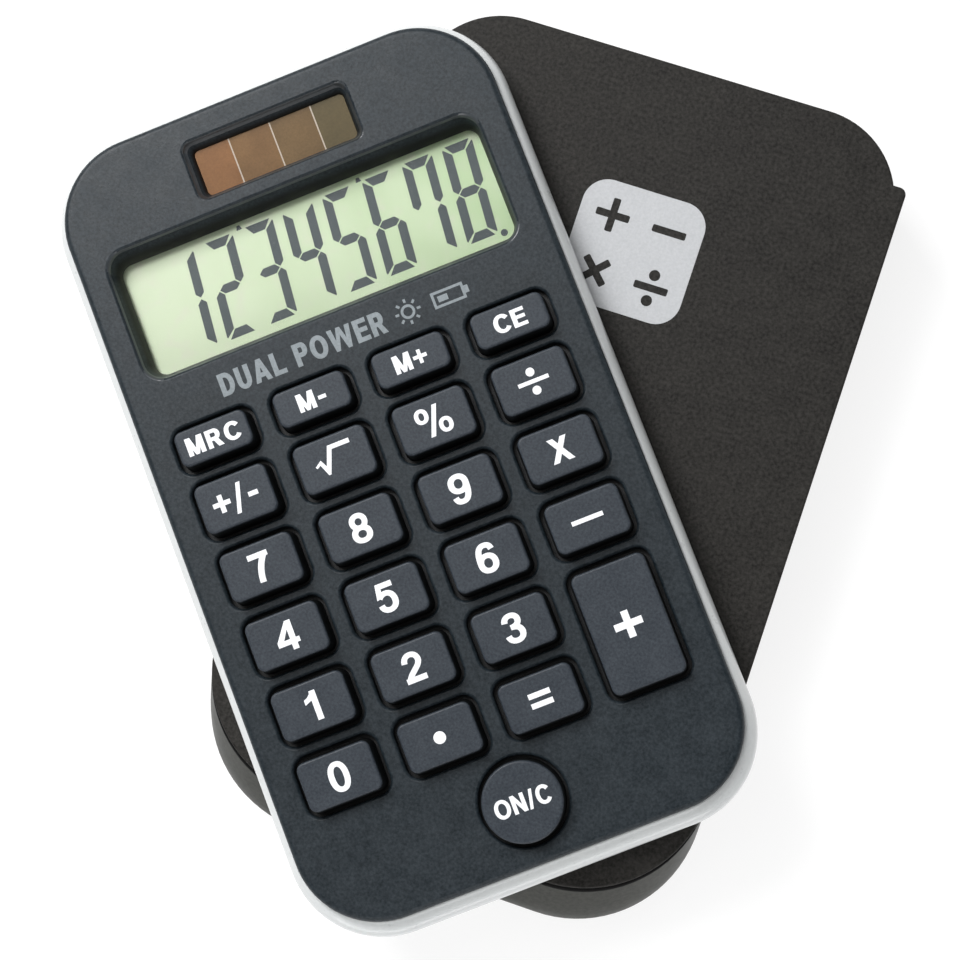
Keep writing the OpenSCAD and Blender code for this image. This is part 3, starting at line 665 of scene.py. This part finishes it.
def glyph(ch, v, h):
    """A plain upright bold sign one unit high, drawn round x = 0."""
    YT, YB = 1.012 - h / 2, -0.012 + h / 2
    top = lambda y: y + (YT - y) * 4 / 3
    low = lambda y: y - (y - YB) * 4 / 3
    if ch == "0":
        return hoop(0, 0.5, 0.345, 0.512, v, h, 2.25)
    if ch == "1":
        return [rect(0.17 - v, 0.17, 0, 1), [(-0.26, 0.59), (0.0, 0.70), (0.0, 0.99), (-0.05, 0.895), (-0.14, 0.815), (-0.26, 0.765)]]
    if ch == "2":
        l, r = -0.33 + v / 2, 0.335 - v / 2
        return pen(cub((l, 0.67), (l, top(0.69)), (r, top(0.69)), (r, 0.70)) + cub((r, 0.70), (r, 0.46), (-0.14, 0.36), (l, 0.10)), v, h) + [rect(-0.35, 0.345, 0, h + 0.01)]
    if ch == "3":
        l, r, q = -0.325 + v / 2, 0.305 - v / 2, 0.335 - v / 2
        return pen(cub((l + 0.01, 0.72), (l + 0.02, top(0.74)), (r, top(0.74)), (r, 0.74)) + cub((r, 0.74), (r, 0.60), (0.10, 0.535), (-0.08, 0.535)), v, h) + \
            pen(cub((-0.08, 0.535), (0.12, 0.535), (q, 0.47), (q, 0.29)) + cub((q, 0.29), (q, low(0.29)), (l, low(0.29)), (l - 0.005, 0.29)), v, h)
    if ch == "4":
        s_ = 0.275
        return [rect(s_ - v, s_, 0, 1), rect(-0.365, 0.39, 0.2, 0.2 + h), [(-0.365, 0.2 + h - 0.02), (-0.365, 0.2 + h), (s_ - v + 0.01, 1.0), (s_ - v + 0.06, 1.0), (s_ - v + 0.06, 0.80), (s_ - v, 0.715), (-0.13, 0.2 + h), (-0.13, 0.2 + h - 0.02)]]
    if ch == "5":
        l, r = -0.33 + v / 2, 0.34 - v / 2
        return [rect(-0.21, 0.30, 1 - h - 0.01, 1), [(-0.23, 1), (-0.06, 1), (-0.115, 0.62), (-0.14, 0.53), (-0.31, 0.48)]] + \
            pen(cub((-0.225, 0.515), (-0.10, 0.705), (r, 0.70), (r, 0.335)) + cub((r, 0.335), (r, low(0.31)), (l, low(0.31)), (l, 0.285)), v, h)
    if ch in "69":
        l = -0.33 + v / 2
        out = hoop(0.005, 0.325, 0.335, 0.337, v, h, 2.15) + pen(cub((l, 0.34), (l - 0.01, 0.86), (-0.08, YT), (0.035, YT)) + cub((0.035, YT), (0.15, YT), (0.215, 0.88), (0.235, 0.745)), v, h)
        return out if ch == "6" else [[(-x, 1 - y) for x, y in q] for q in out]
    if ch == "7":
        return [rect(-0.33, 0.335, 1 - h - 0.01, 1)] + pen(cub((0.24, 0.94), (0.06, 0.70), (-0.075, 0.40), (-0.085, 0.0)), v, h * 1.15)
    if ch == "8":
        return hoop(0, 0.716, 0.303, 0.296, v * 0.95, h, 2.1) + hoop(0, 0.29, 0.34, 0.302, v, h, 2.15)
    if ch == "M":
        left = [(-0.42, 1), (-0.42 + v * 1.15, 1), (0.085, 0), (-0.085, 0)]
        return [rect(-0.42, -0.42 + v, 0, 1), rect(0.42 - v, 0.42, 0, 1), left, [(-x, y) for x, y in left]]
    if ch in "RP":
        yb, r = 0.37 + h / 2, 0.34 - v / 2
        out = [rect(-0.35, -0.35 + v, 0, 1)] + pen([(-0.3, 1 - h / 2)] + cub((0.06, 1 - h / 2), (0.06 + (r - 0.06) * 4 / 3, 1 - h / 2), (0.06 + (r - 0.06) * 4 / 3, yb), (0.06, yb)) + [(-0.3, yb)], v, h)
        return out + ([[(-0.06, yb), (0.17, yb + 0.02), (0.40, 0), (0.13, 0)]] if ch == "R" else [])
    if ch in "C":
        def at(t, a, b):
            c, s_ = math.cos(math.radians(t)), math.sin(math.radians(t))
            return (0.02 + a * math.copysign(abs(c) ** 0.93, c), 0.5 + b * math.copysign(abs(s_) ** 0.93, s_))
        steps_ = list(range(33, 328, 7))
        return [[at(p, 0.41, 0.512), at(q_, 0.41, 0.512), at(q_, 0.41 - v, 0.512 - h), at(p, 0.41 - v, 0.512 - h)] for p, q_ in zip(steps_, steps_[1:])]
    if ch == "E":
        return [rect(-0.33, -0.33 + v, 0, 1), rect(-0.33, 0.34, 0, h), rect(-0.33, 0.31, 0.52 - h / 2, 0.52 + h / 2), rect(-0.33, 0.33, 1 - h, 1)]
    if ch == "O":
        return hoop(0, 0.5, 0.43, 0.512, v, h, 2.1)
    if ch == "N":
        return [rect(-0.37, -0.37 + v, 0, 1), rect(0.37 - v, 0.37, 0, 1), [(-0.37, 1), (-0.37 + v, 1), (0.37, 0), (0.37 - v, 0)]]
    if ch == "/":
        return [[(-0.20, -0.02), (-0.20 + v * 0.8, -0.02), (0.20, 1.02), (0.20 - v * 0.8, 1.02)]]
    if ch == "X":
        return [[(-0.42, 0), (-0.42 + v * 1.2, 0), (0.38, 1), (0.38 - v * 1.2, 1)], [(-0.38, 1), (-0.38 + v * 1.2, 1), (0.42, 0), (0.42 - v * 1.2, 0)]]
    if ch == "D":
        r = 0.38 - v / 2
        return [rect(-0.35, -0.35 + v, 0, 1)] + pen([(-0.3, 1 - h / 2)] + cub((-0.04, 1 - h / 2), (-0.04 + (r + 0.04) * 4 / 3, 1 - h / 2), (-0.04 + (r + 0.04) * 4 / 3, h / 2), (-0.04, h / 2)) + [(-0.3, h / 2)], v, h)
    if ch == "U":
        r = 0.36 - v / 2
        return pen([(-r, 1)] + cub((-r, 0.37), (-r, low(0.37)), (r, low(0.37)), (r, 0.37)) + [(r, 1)], v, h)
    if ch == "A":
        leg = [(-0.42, 0), (-0.42 + v * 1.02, 0), (0.03, 0.76), (0.12, 1), (-0.12, 1)]
        return [leg, [(-x, y) for x, y in leg], rect(-0.25, 0.25, 0.2, 0.2 + h)]
    if ch == "L":
        return [rect(-0.31, -0.31 + v, 0, 1), rect(-0.31, 0.33, 0, h)]
    if ch == "W":
        k = [[(-0.58, 1), (-0.58 + v * 0.98, 1), (-0.20, 0), (-0.40, 0)], [(-0.40, 0), (-0.20, 0), (0.10, 1), (-0.10, 1)]]
        return k + [[(-x, y) for x, y in q] for q in k]
    return []


def word(text, height, width, v, h, gap=0.12, space=0.34):
    """Signs set in a row, centred on the origin, with the row scaled to its height and width."""
    row, x = [], 0.0
    for ch in text:
        if ch == " ":
            x += space
            continue
        g = glyph(ch, v, h)
        lo_ = min(px for q in g for px, py in q)
        hi_ = max(px for q in g for px, py in q)
        row += [[(px - lo_ + x, py - 0.5) for px, py in q] for q in g]
        x += hi_ - lo_ + gap
    x -= gap
    return [[((px - x / 2) * width / x, py * height) for px, py in q] for q in row]


def moved(shapes, dx, dy):
    return [[(x + dx, y + dy) for x, y in q] for q in shapes]


DIGIT_H, WORD_H = 3.85, 2.4
shapes = {}
for d in "0123456789":
    shapes["key_" + d] = word(d, DIGIT_H, 1.72 if d == "1" else (2.95 if d == "4" else 2.7), 0.198, 0.175)
shapes["key_mrc"] = word("MRC", WORD_H, 7.3, 0.225, 0.2, 0.14)
shapes["key_m_minus"] = moved(word("M", WORD_H, 2.3, 0.22, 0.2), -0.75, 0) + [rect(0.85, 1.9, -0.42, 0.08)]
shapes["key_m_plus"] = moved(word("M", WORD_H, 2.3, 0.22, 0.2), -1.1, 0) + [rect(0.38, 2.2, -0.24, 0.24), rect(1.05, 1.53, -0.91, 0.91)]
shapes["key_ce"] = word("CE", WORD_H, 4.3, 0.225, 0.195)
shapes["key_times"] = word("X", 3.2, 2.9, 0.2, 0.2)
shapes["key_sign"] = [rect(-3.1, -0.75, -0.28, 0.34), rect(-2.25, -1.6, -1.15, 1.21), [(-0.45, -1.95), (0.12, -1.95), (1.2, 1.95), (0.63, 1.95)], rect(1.7, 3.0, -0.42, 0.2)]
shapes["key_root"] = [[(-2.62, -0.10), (-2.45, -0.36), (-1.95, -0.06), (-1.32, -1.62), (-1.02, -1.62), (0.12, 1.42), (2.6, 1.42), (2.6, 2.02), (-0.30, 2.02), (-1.22, -0.45), (-1.72, 0.52)]]
shapes["key_percent"] = hoop(-1.34, 0.98, 0.92, 1.0, 0.57, 0.48) + hoop(1.34, -0.98, 0.92, 1.0, 0.57, 0.48) + [[(-1.05, -1.98), (-0.42, -1.98), (1.05, 1.98), (0.42, 1.98)]]
shapes["key_divide"] = [rect(-2.05, 2.05, -0.26, 0.26), disc(0, 1.24, 0.57), disc(0, -1.24, 0.57)]
shapes["key_minus"] = [rect(-2.1, 2.1, -0.29, 0.29)]
shapes["key_plus"] = [rect(-1.85, 1.85, -0.46, 0.46), rect(-0.46, 0.46, -1.75, 1.75)]
shapes["key_equals"] = [rect(-1.45, 1.45, 0.28, 0.98), rect(-1.45, 1.45, -0.98, -0.28)]
shapes["key_point"] = [disc(0, 0, 0.8)]
shapes["key_on"] = word("ON/C", WORD_H, 7.35, 0.215, 0.19, 0.10)
for k, sh in shapes.items():
    cx, cy = (0.0, ON_Y) if k == "key_on" else KEY_BOX[k][:2]
    o = obj_of(k + "_legend", shift(printed(sh), cx, cy, INK_Z))
    finish(o, CALC, INK, k, weighted=False)

# generic printed line under the display: plain words, then a sun and a cell
words = moved(word("DUAL POWER", 3.05, 23.0, 0.25, 0.2, 0.13, 0.42), -6.1, 18.15)
sun = hoop(8.6, 18.15, 0.95, 0.95, 0.34, 0.34, 2.0)
for i in range(8):
    a = math.radians(45 * i)
    c, s_ = math.cos(a), math.sin(a)
    sun.append([(8.6 + c * u - s_ * w, 18.15 + s_ * u + c * w) for u, w in ((1.22, -0.16), (1.72, -0.16), (1.72, 0.16), (1.22, 0.16))])
cell = [rect(12.0, 16.4, 17.05, 17.4), rect(12.0, 16.4, 18.9, 19.25), rect(12.0, 12.35, 17.05, 19.25), rect(16.05, 16.4, 17.05, 19.25), rect(16.4, 16.95, 17.65, 18.65), rect(12.75, 14.1, 17.75, 18.55)]
finish(obj_of("face_print", printed(words + sun + cell, (), TOP - 0.01, TOP + 0.02)), CALC, GREY_INK, "calculator", weighted=False)

# ------------------------------------------------------------------ display
LCD_Z = 5.15


def segments():
    W, H, t, g = 4.25, 13.3, 1.2, 0.11
    M = H / 2
    seg = {
        "a": [(g + 0.3, H), (W - g - 0.3, H), (W - g - t, H - t), (g + t, H - t)],
        "d": [(g + 0.3, 0), (W - g - 0.3, 0), (W - g - t, t), (g + t, t)],
        "g": [(t / 2 + g, M), (t + g, M + t / 2), (W - t - g, M + t / 2), (W - t / 2 - g, M), (W - t - g, M - t / 2), (t + g, M - t / 2)],
        "f": [(0, M + t / 2 + g), (t / 2, M + g), (t, M + t / 2 + g), (t, H - t - g), (0.1, H - g - 0.2), (0, H - g - 0.35)],
        "e": [(0, M - t / 2 - g), (t / 2, M - g), (t, M - t / 2 - g), (t, t + g), (0.1, g + 0.2), (0, g + 0.35)],
    }
    seg["b"] = [(W - x, y) for x, y in seg["f"]]
    seg["c"] = [(W - x, y) for x, y in seg["e"]]
    shown = ["bc", "abged", "abgcd", "fgbc", "afgcd", "afgecd", "fabc", "abcdefg"]
    x_last, y0, pitch, lean = 18.85, 24.15, 5.65, math.tan(math.radians(5.6))
    parts = []
    for k, s in enumerate(reversed(shown)):
        for c in s:
            poly = [(x_last - pitch * k + x + y * lean, y0 + y) for x, y in seg[c]]
            parts.append(prism(poly, LCD_Z + 0.005, LCD_Z + 0.02))
    parts.append(rod_vf(23.85, 23.95, 0.47, LCD_Z + 0.005, LCD_Z + 0.02, 32))
    for k in (2, 5):
        x = x_last - pitch * k - 0.95 + 13.4 * lean
        parts.append(prism([(x + 0.15, y0 + 13.3), (x + 0.95, y0 + 13.3), (x + 0.75, y0 + 13.9), (x + 0.35, y0 + 13.9)], LCD_Z + 0.005, LCD_Z + 0.02))
    return merge(parts)


finish(obj_of("lcd_segments", segments()), CALC, SEGMENT, "calculator", weighted=False)

# ------------------------------------------------------------------ solar cell face
SUN_Z = 7.07
edges = [-11.85, -5.42, 0.36, 6.14, 12.15]
for i in range(4):
    a, b = edges[i] + (0.09 if i else 0.0), edges[i + 1] - (0.09 if i < 3 else 0.0)
    v = loft([rrect(a, b, 41.75, 49.75, 0.1, 0.1, z, 3) for z in (SUN_Z - 0.005, SUN_Z + 0.012)])
    finish(obj_of("solar_tile_%d" % (i + 1), v), CALC, SUN[i], "calculator", weighted=False)
lines = merge([box_vf(x - 0.09, x + 0.09, 41.75, 49.75, SUN_Z - 0.005, SUN_Z + 0.01) for x in edges[1:4]])
finish(obj_of("solar_lines", lines), CALC, SUN_LINE, "calculator", weighted=False)

# ------------------------------------------------------------------ keypad mat: a sheet and one dome under each key
sheet = obj_of("keypad_mat_sheet", loft([rrect(-26.2, 26.2, -50.6, 15.4, 2, 2, z, 8, o) for z, o in ((2.7, -0.1), (2.8, 0), (3.2, 0), (3.3, -0.1))]))
boolean(sheet, merge([rod_vf(x, -48.5, 2.9, 2, 4) for x in (-24.9, 24.9)] + [rod_vf(x, y, 1.8, 2, 4) for x in (-13.6, 13.6) for y in (8.025, -10.665, -39.7)]), "DIFFERENCE")
finish(sheet, CALC, MAT_M, "calculator", ["keypad_mat"])
for k in list(KEY_BOX) + ["key_on"]:
    cx, cy = (0.0, ON_Y) if k == "key_on" else KEY_BOX[k][:2]
    rings = [circle(cx, cy, r, z, 32) for r, z in ((2.6, 3.3), (2.45, 3.5), (1.75, 4.3), (1.6, 4.48), (1.4, 4.57), (1.1, 4.59))]
    o = obj_of(k.replace("key_", "dome_"), loft(rings))
    finish(o, CALC, MAT_M, "calculator", weighted=False)
    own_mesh(o)


# ------------------------------------------------------------------ slide-on case
def make_case():
    hw, y0, y1 = 34.0, -56.2, 56.2
    n = 20
    yw = y1 - 7.0
    # walls and closed end: (z, side inset, closed end inset)
    prof = [(0.0, 1.25, 1.25), (0.08, 0.98, 0.98), (0.3, 0.62, 0.62), (0.7, 0.3, 0.3), (1.3, 0.1, 0.1), (2.2, 0, 0), (5.4, 0, 0),
            (6.8, 0, 0.25), (8.2, 0.02, 0.95), (9.6, 0.04, 1.9), (11.0, 0.05, 2.9), (12.6, 0.07, 4.05), (13.12, 0.084, 4.43), (13.35, 0.09, 4.6), (13.42, 0.12, 4.72), (13.46, 0.2, 4.9)]
    rings = [rrect(-hw + s, hw - s, y0 + b, yw - min(s, 0.9), 17 - s, 1.0, z, n) for z, s, b in prof]
    # a fine step, then the plate's own edge
    f = 0.28
    rings += [rrect(-hw + 0.1, hw - 0.1, y0 + 4.98, yw - 0.05, 17, 1.0, 13.5, n), rrect(-hw + 0.1, hw - 0.1, y0 + 5.0, yw, 17, 1.0, 13.8, n)]
    for k in range(0, 7):
        a = math.radians(90.0 * k / 6)
        rings.append(rrect(-hw + 0.1, hw - 0.1, y0 + 5.0, yw, 17, 1.0, 14.4 - f + f * math.sin(a), n, -f * (1 - math.cos(a))))
    rings.append(rrect(-hw + 0.1, hw - 0.1, y0 + 5.0, yw, 17, 1.0, 14.4, n, -f - 0.3))
    o = obj_of("slide_case_shell", loft(rings))
    s = 0.9
    tongue = [rrect(-hw + s, hw - s, y0 + 12, y1, 10, 12, z, n, e) for z, e in ((12.8, -0.25), (12.83, -0.14), (12.92, -0.04), (13.05, 0.0))]
    for k in range(0, 7):
        a = math.radians(90.0 * k / 6)
        tongue.append(rrect(-hw + s, hw - s, y0 + 12, y1, 10, 12, 14.4 - f + f * math.sin(a), n, -f * (1 - math.cos(a))))
    tongue.append(rrect(-hw + s, hw - s, y0 + 12, y1, 10, 12, 14.4, n, -f - 0.35))
    boolean(o, loft(tongue), "UNION")
    w = 1.7
    room = [rrect(-hw + w + i, hw - w - i, y0 + w + j, y1 + 20, 17 - w, 2, z, n) for z, i, j in
            ((1.3, 0, 0), (6.0, 0, 0), (7.8, 0.05, 0.9), (9.6, 0.1, 2.0), (11.2, 0.15, 2.95), (12.8, 0.2, 3.9))]
    boolean(o, loft(room), "DIFFERENCE")
    wi = hw - w - 3.2
    slot = [rrect(-wi, wi, y0 + w + 3.2, y1 + 20, 12.3, 2, z, n, e) for z, e in ((-1, 0.3), (0.0, 0.3), (0.12, 0.12), (0.3, 0), (2.3, 0))]
    boolean(o, loft(slot), "DIFFERENCE")
    clean(o)
    # Material slots: plate faces take the case colour, the walls below it the lighter painted-light copy, and the band
    # under the plate's edge at the closed end the painted shadow.
    for p in o.data.polygons:
        p.material_index = 0 if p.center.z > 13.51 else (2 if 13.2 < p.center.z and p.center.y < -38 else 1)
    return finish(o, CASE, [CASE_M, CASE_WALL_PAINTED_LIGHT, CASE_PAINTED_SHADOW], "slide_case", ["slide_case"])


make_case()

# generic printed mark on the plate: a rounded tile with the four arithmetic signs left blank
q = 3.9


def turned(shape, degrees, dx, dy):
    c, s_ = math.cos(math.radians(degrees)), math.sin(math.radians(degrees))
    return [(x * c - y * s_ + dx, x * s_ + y * c + dy) for x, y in shape]


arm = soft_rect(-2.3, 2.3, -0.5, 0.5, 0.2)
blanks = [turned(arm, 0, -q, q), turned(arm, 90, -q, q), turned(arm, 0, q, q), turned(arm, 0, q, -q), disc(q, -q + 1.75, 0.75), disc(q, -q - 1.75, 0.75),
          turned(arm, 45, -q, -q), turned(arm, -45, -q, -q)]
tile = printed([[(x, y) for x, y, z in rrect(-8.4, 8.4, -8.4, 8.4, 3.4, 3.4, 0, 16)]], blanks, 14.39, 14.42)
finish(obj_of("case_print", shift(tile, 2.1, 30.5)), CASE, MARK_INK, "slide_case", weighted=False)

# ------------------------------------------------------------------ CAD nodes that stay
KEEP = {"display_window": CLEAR, "lcd_panel": LCD, "zebra_connector": BLACK, "solar_cell": SUN_LINE, "solar_leads": LEAD,
        "circuit_board": BOARD, "chip_blob": EPOXY, "capacitor": SLEEVE, "resistors": EPOXY, "button_cell": CELL,
        "battery_contact_positive": BRASS, "battery_contact_negative": BRASS, "board_screws": SCREW, "case_screws": SCREW}
for n, m in KEEP.items():
    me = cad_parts[n].data
    if not me.materials:
        me.materials.append(m)
    for i in range(len(me.materials)):
        me.materials[i] = m

# ------------------------------------------------------------------ floor, lights, camera
fl = obj_of("floor", ([(-3000, -3000, 0), (3000, -3000, 0), (3000, 3000, 0), (-3000, 3000, 0)], [(0, 1, 2, 3)]))
fl.data.transform(Matrix.Scale(MM, 4) @ Matrix.Translation((0, 0, -0.02)))
fm, fnt, fp = new_mat("floor_paper")
fco = add(fnt, "ShaderNodeTexCoord").outputs["Object"]
fnt.links.new(mix_colour(fnt, noise(fnt, fco, 60, 3.0, 0.6), (0.22, 0.22, 0.22), (0.24, 0.24, 0.24)), fp.inputs["Base Color"])
fp.inputs["Roughness"].default_value = 0.9
fp.inputs["Specular IOR Level"].default_value = 0.1
fp.inputs["Emission Color"].default_value = (1.0, 1.0, 1.0, 1.0)
fp.inputs["Emission Strength"].default_value = 0.82
fl.data.materials.append(fm)

P2L = Matrix.Translation((0, -0.014977, 0.009))
rv = Vector((-0.107830499, -0.0718358902, 0.371109597))
R = Matrix.Rotation(rv.length, 4, rv.normalized())
T = Matrix.Translation((-0.00540702306, -0.0121584871, -0.287243628))
cam_world = CALC @ P2L @ (T @ R).inverted()
cd = bpy.data.cameras.new("camera")
cd.sensor_width = 36.0
cd.lens = 2259.0 / 960.0 * 36.0
cd.clip_start = 0.01
cam = bpy.data.objects.new("camera", cd)
COLL.objects.link(cam)
cam.matrix_world = cam_world
SCENE.camera = cam


def area(name, place, size, power, target, colour=(1, 1, 1)):
    ld = bpy.data.lights.new(name, "AREA")
    ld.shape = "RECTANGLE"
    ld.size, ld.size_y = size
    ld.energy = power
    ld.color = colour
    o = bpy.data.objects.new(name, ld)
    COLL.objects.link(o)
    p = cam_world @ Vector(place)
    d = (cam_world @ Vector(target)) - p
    o.matrix_world = Matrix.Translation(p) @ d.to_track_quat("-Z", "Y").to_matrix().to_4x4()
    return o


centre = (0.0, 0.0, -0.29)
area("key_light", (-0.30, 0.36, 0.15), (0.28, 0.28), 4.35, centre)
area("top_softbox", (-0.17, 0.27, 0.35), (0.36, 0.30), 0.8, centre)
to_local = cam_world.inverted()
area("low_strip", to_local @ Vector((0.070, -0.160, 0.014)), (0.20, 0.016), 0.032, to_local @ Vector((0.017, 0.0, 0.012)))
area("lower_fill", to_local @ Vector((0.085, -0.205, 0.180)), (0.22, 0.12), 0.22, to_local @ Vector((0.017, 0.0, 0.015)))

wd = bpy.data.worlds.new("studio")
SCENE.world = wd
wd.use_nodes = True
bg = wd.node_tree.nodes["Background"]
bg.inputs["Color"].default_value = (1.0, 1.0, 1.0, 1.0)
# a pale studio backdrop low round the horizon under a dimmer ceiling
sky = wd.node_tree
rise = add(sky, "ShaderNodeSeparateXYZ")
sky.links.new(add(sky, "ShaderNodeTexCoord").outputs["Generated"], rise.inputs["Vector"])
sky.links.new(remap(sky, rise.outputs["Z"], 0.86, 0.21, 0.14, 0.36), bg.inputs["Strength"])
SCENE.view_settings.view_transform = "Standard"
SCENE.view_settings.look = "None"
